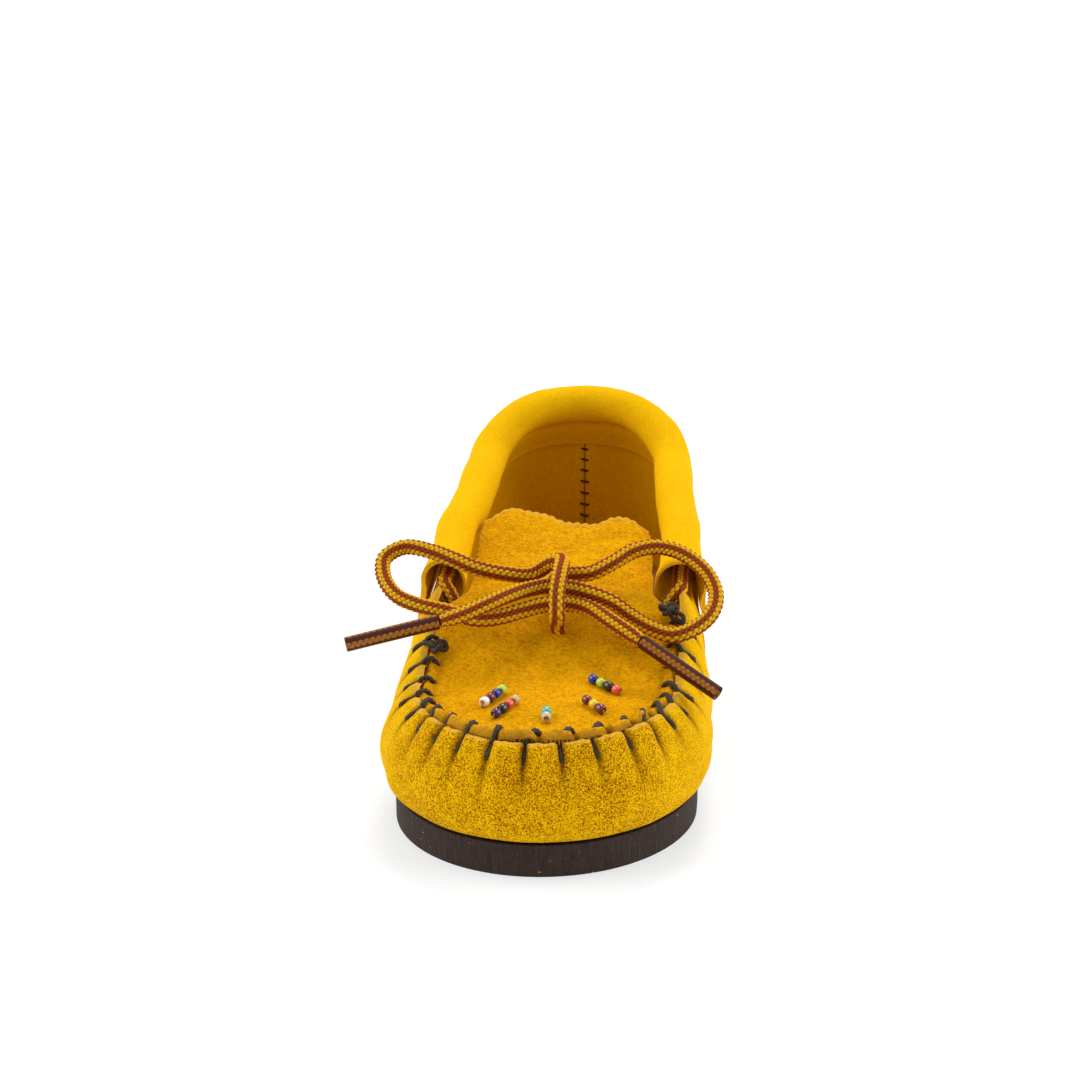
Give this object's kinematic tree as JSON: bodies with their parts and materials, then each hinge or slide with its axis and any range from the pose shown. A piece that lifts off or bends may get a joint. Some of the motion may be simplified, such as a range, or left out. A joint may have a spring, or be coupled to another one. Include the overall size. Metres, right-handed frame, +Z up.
{
  "type": "moccasin",
  "caption": "Child's soft suede moccasin with a puckered toe seam, beaded plug, rolled collar with a drawn lace tied in a bow, and a flat rubber sole.",
  "frame": {"origin": "on the flat tread of the outsole, on the plain land midway along its length", "axes": "+Z up; the toe points to -Y and the heel to +Y; the big toe's side is -X"},
  "size_m": [0.0796, 0.1558, 0.0603],
  "materials": {
    "crepe_rubber": "matt dark brown crepe rubber",
    "suede": "bright yellow split suede",
    "board": "fibreboard",
    "foam": "soft foam",
    "lining": "tan leather",
    "lace": "braided yellow and brown cord",
    "lace_film": "clear glossy film",
    "waxed_thread": "waxed dark olive thread",
    "bead_thread": "fine thread",
    "bead_white": "glossy glass",
    "bead_plum": "glossy glass",
    "bead_blue": "glossy glass",
    "bead_lime": "glossy glass",
    "bead_purple": "glossy glass",
    "bead_black": "glossy glass",
    "bead_coral": "glossy glass",
    "bead_cream": "glossy glass",
    "bead_turquoise": "glossy glass",
    "bead_pearl": "glossy glass",
    "bead_yellow": "glossy glass"
  },
  "bodies": {
    "shoe": {"outsole": "crepe_rubber", "vamp": "suede", "quarter_left": "suede", "quarter_right": "suede", "insole_board": "board", "footbed_foam": "foam", "sock_liner": "lining", "plug": "suede", "collar": "suede", "lace_in_collar": "lace", "lace_left": "lace", "lace_right": "lace", "aglet_left": "lace_film", "aglet_right": "lace_film", "moc_seam_thread": "waxed_thread", "heel_seam_thread": "waxed_thread", "thread_knot_left": "waxed_thread", "thread_knot_right": "waxed_thread", "bead_thread_left_outer": "bead_thread", "bead_left_outer_1": "bead_white", "bead_left_outer_2": "bead_plum", "bead_left_outer_3": "bead_blue", "bead_left_outer_4": "bead_lime", "bead_thread_left_inner": "bead_thread", "bead_left_inner_1": "bead_purple", "bead_left_inner_2": "bead_black", "bead_left_inner_3": "bead_coral", "bead_left_inner_4": "bead_cream", "bead_thread_middle": "bead_thread", "bead_middle_1": "bead_turquoise", "bead_middle_2": "bead_pearl", "bead_thread_right_inner": "bead_thread", "bead_right_inner_1": "bead_plum", "bead_right_inner_2": "bead_yellow", "bead_right_inner_3": "bead_plum", "bead_thread_right_outer": "bead_thread", "bead_right_outer_1": "bead_blue", "bead_right_outer_2": "bead_lime", "bead_right_outer_3": "bead_black", "bead_right_outer_4": "bead_coral"},
    "tongue_flap": {"tongue": "suede"}
  },
  "joints": [
    {"name": "tongue_flex", "type": "hinge", "parent": "shoe", "child": "tongue_flap", "pos_m": [-0.0012, -0.00346, 0.03884], "axis": [1, 0, 0], "range_deg": [-30, 35]}
  ]
}
